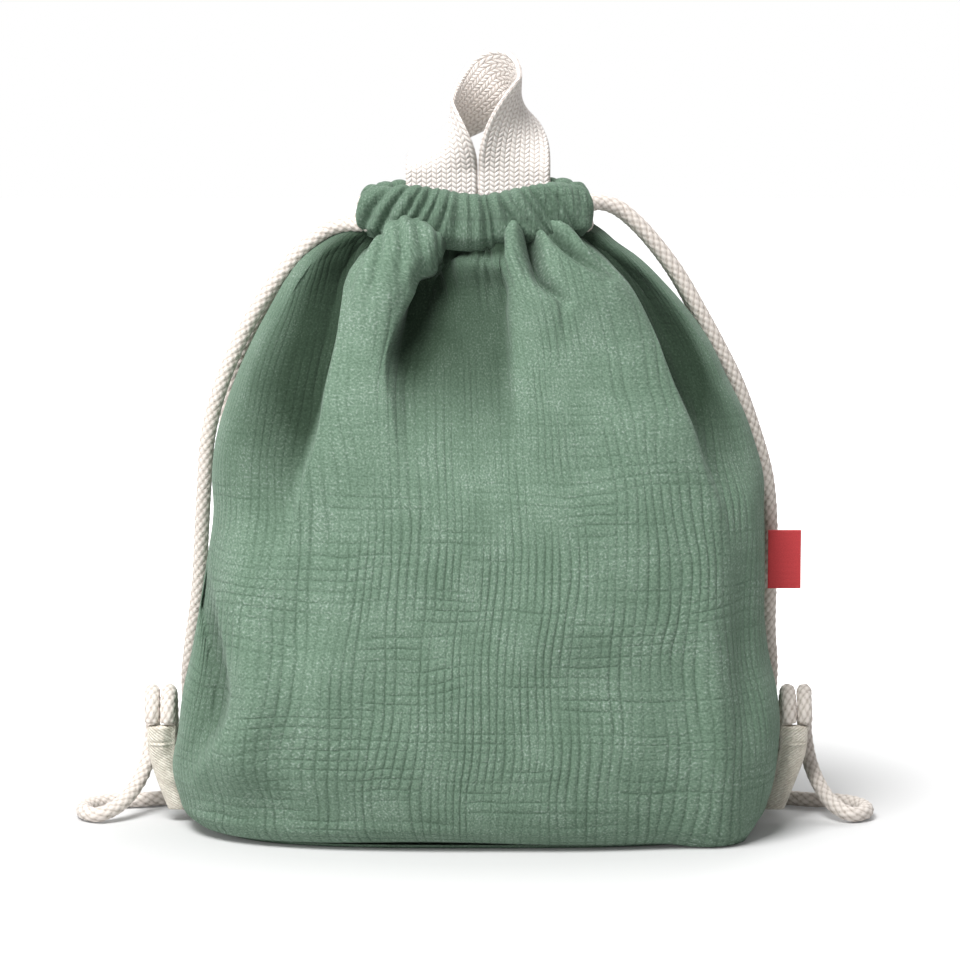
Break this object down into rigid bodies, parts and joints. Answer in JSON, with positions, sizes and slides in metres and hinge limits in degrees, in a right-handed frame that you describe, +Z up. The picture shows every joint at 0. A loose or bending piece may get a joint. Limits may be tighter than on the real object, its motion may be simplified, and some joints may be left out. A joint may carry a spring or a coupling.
{
  "type": "drawstring bento bag",
  "caption": "Soft drawstring bag with a flat base, cords through a gathered casing that double as shoulder straps, cord tabs in the side seams, a side label and a webbing carry loop.",
  "frame": {"origin": "middle of the flat base, on the surface that the bag stands on", "axes": "+Z up to the mouth, -Y to the front, +X to the side seam with the label"},
  "size_m": [0.3265, 0.1302, 0.3135],
  "materials": {
    "gauze": "crinkled sage green cotton double gauze",
    "cord": "braided cream cotton cord",
    "twill": "beige cotton twill",
    "webbing": "cream cotton webbing",
    "label": "plain red woven ribbon"
  },
  "bodies": {
    "bag": {"base_panel": "gauze", "front_panel": "gauze", "back_panel": "gauze", "front_casing": "gauze", "back_casing": "gauze", "left_drawcord": "cord", "right_drawcord": "cord", "left_strap_front": "cord", "left_strap_rear": "cord", "right_strap_front": "cord", "right_strap_rear": "cord", "carry_loop_left_end": "webbing", "carry_loop_right_end": "webbing"},
    "carry_loop": {"carry_loop": "webbing"},
    "left_tab": {"left_tab": "twill"},
    "right_tab": {"right_tab": "twill"},
    "side_label": {"side_label": "label"}
  },
  "joints": [
    {"name": "carry_loop_fold", "type": "hinge", "parent": "bag", "child": "carry_loop", "pos_m": [0.0012, 0.0106, 0.2603], "axis": [1, 0, 0], "range_deg": [-30, 60], "stiffness_Nm_per_rad": 0.02},
    {"name": "left_tab_swing", "type": "hinge", "parent": "bag", "child": "left_tab", "pos_m": [-0.1202, 0, 0.0225], "axis": [-0.161, 0, 0.987], "range_deg": [-20, 20], "stiffness_Nm_per_rad": 0.005},
    {"name": "right_tab_swing", "type": "hinge", "parent": "bag", "child": "right_tab", "pos_m": [0.1213, 0, 0.0225], "axis": [0.223, 0, 0.9748], "range_deg": [-20, 20], "stiffness_Nm_per_rad": 0.005},
    {"name": "side_label_flap", "type": "hinge", "parent": "bag", "child": "side_label", "pos_m": [0.11866, 0, 0.1086], "axis": [0, 0, 1], "range_deg": [-60, 60], "stiffness_Nm_per_rad": 0.002}
  ]
}
